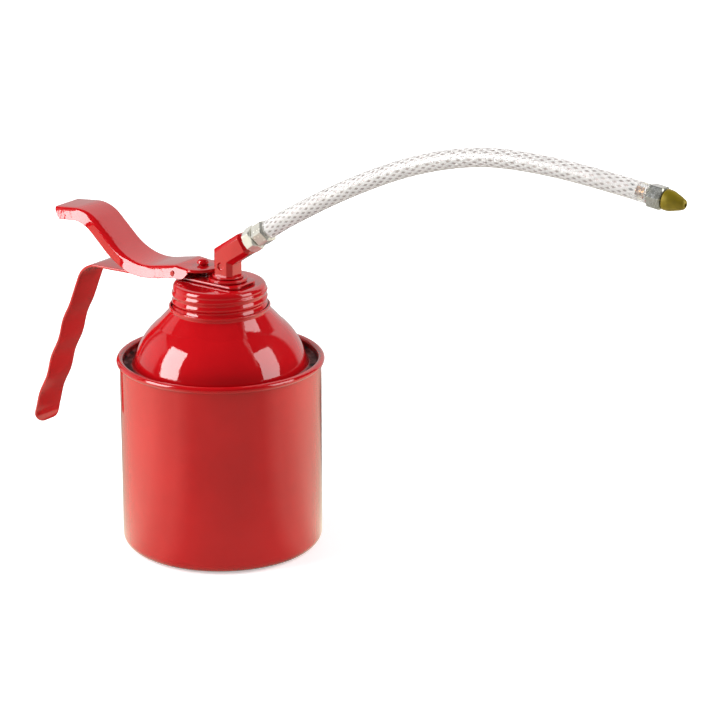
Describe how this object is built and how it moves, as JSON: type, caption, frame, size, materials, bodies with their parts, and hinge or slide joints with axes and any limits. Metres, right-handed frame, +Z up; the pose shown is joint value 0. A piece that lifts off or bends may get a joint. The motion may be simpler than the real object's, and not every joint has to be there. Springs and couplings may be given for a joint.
{
  "type": "pump oil can",
  "caption": "Pump oil can: round can with a domed top, screw cap with a lift pump, wavy finger grip, thumb lever, elbow spout, hose and cone nozzle.",
  "frame": {"origin": "centre of the can's flat base, at the height of the surface it stands on", "axes": "+Z up along the can's axis, +X towards the spout and nozzle, with the grip and the thumb lever towards -X; the mechanism is symmetric about the plane Y = 0"},
  "size_m": [0.3035, 0.0824, 0.1825],
  "materials": {
    "red_enamel": "glossy red enamel",
    "zinc": "yellowed zinc plate",
    "steel": "bright steel",
    "brass": "plain brass",
    "olive_brass": "satin olive brass",
    "alloy": "cast alloy",
    "rubber": "matt black",
    "braided_hose": "clear hose with a white braid inside",
    "plastic": "natural"
  },
  "bodies": {
    "can": {"can_body": "red_enamel", "dome_top": "red_enamel"},
    "cap_ring": {"cap_gasket": "rubber"},
    "pump_head": {"cap": "red_enamel", "handle_strip": "red_enamel", "spout_washer": "red_enamel", "spout_elbow": "red_enamel", "spout_adapter": "zinc", "hose_tail": "zinc", "hose": "braided_hose", "nozzle_body": "zinc", "nozzle": "olive_brass", "pivot_pin": "steel", "rod_gland": "brass", "rod_seal": "rubber", "pump_body": "alloy", "return_spring": "steel", "inlet_seat": "brass", "suction_tube": "plastic", "strainer": "plastic"},
    "lever": {"thumb_lever": "red_enamel"},
    "plunger": {"plunger_rod": "steel", "piston": "brass", "piston_seal": "rubber"},
    "upper_ball": {"piston_ball": "steel"},
    "lower_ball": {"inlet_ball": "steel"}
  },
  "joints": [
    {"name": "cap_rise", "type": "slide", "parent": "can", "child": "cap_ring", "axis": [0, 0, 1], "range_m": [0, 0.0046]},
    {"name": "cap_turn", "type": "hinge", "parent": "cap_ring", "child": "pump_head", "pos_m": [0, 0, 0.1], "axis": [0, 0, 1], "range_deg": [0, 540]},
    {"name": "lever_press", "type": "hinge", "parent": "pump_head", "child": "lever", "pos_m": [-0.0162, 0, 0.11075], "axis": [0, -1, 0], "range_deg": [0, 8.5]},
    {"name": "plunger_lift", "type": "slide", "parent": "pump_head", "child": "plunger", "axis": [0, 0, 1], "range_m": [0, 0.00118], "stiffness_N_per_m": 200, "springref_m": -0.006, "deforming": ["return_spring"]},
    {"name": "upper_ball_lift", "type": "slide", "parent": "plunger", "child": "upper_ball", "axis": [0, 0, 1], "range_m": [0, 0.0009]},
    {"name": "lower_ball_lift", "type": "slide", "parent": "pump_head", "child": "lower_ball", "axis": [0, 0, 1], "range_m": [0, 0.0009]}
  ],
  "couplings": [
    {"joint": "cap_rise", "follows": "cap_turn", "m_per_rad": 0.00048542},
    {"joint": "lever_press", "follows": "plunger_lift", "rad_per_m": 125}
  ]
}
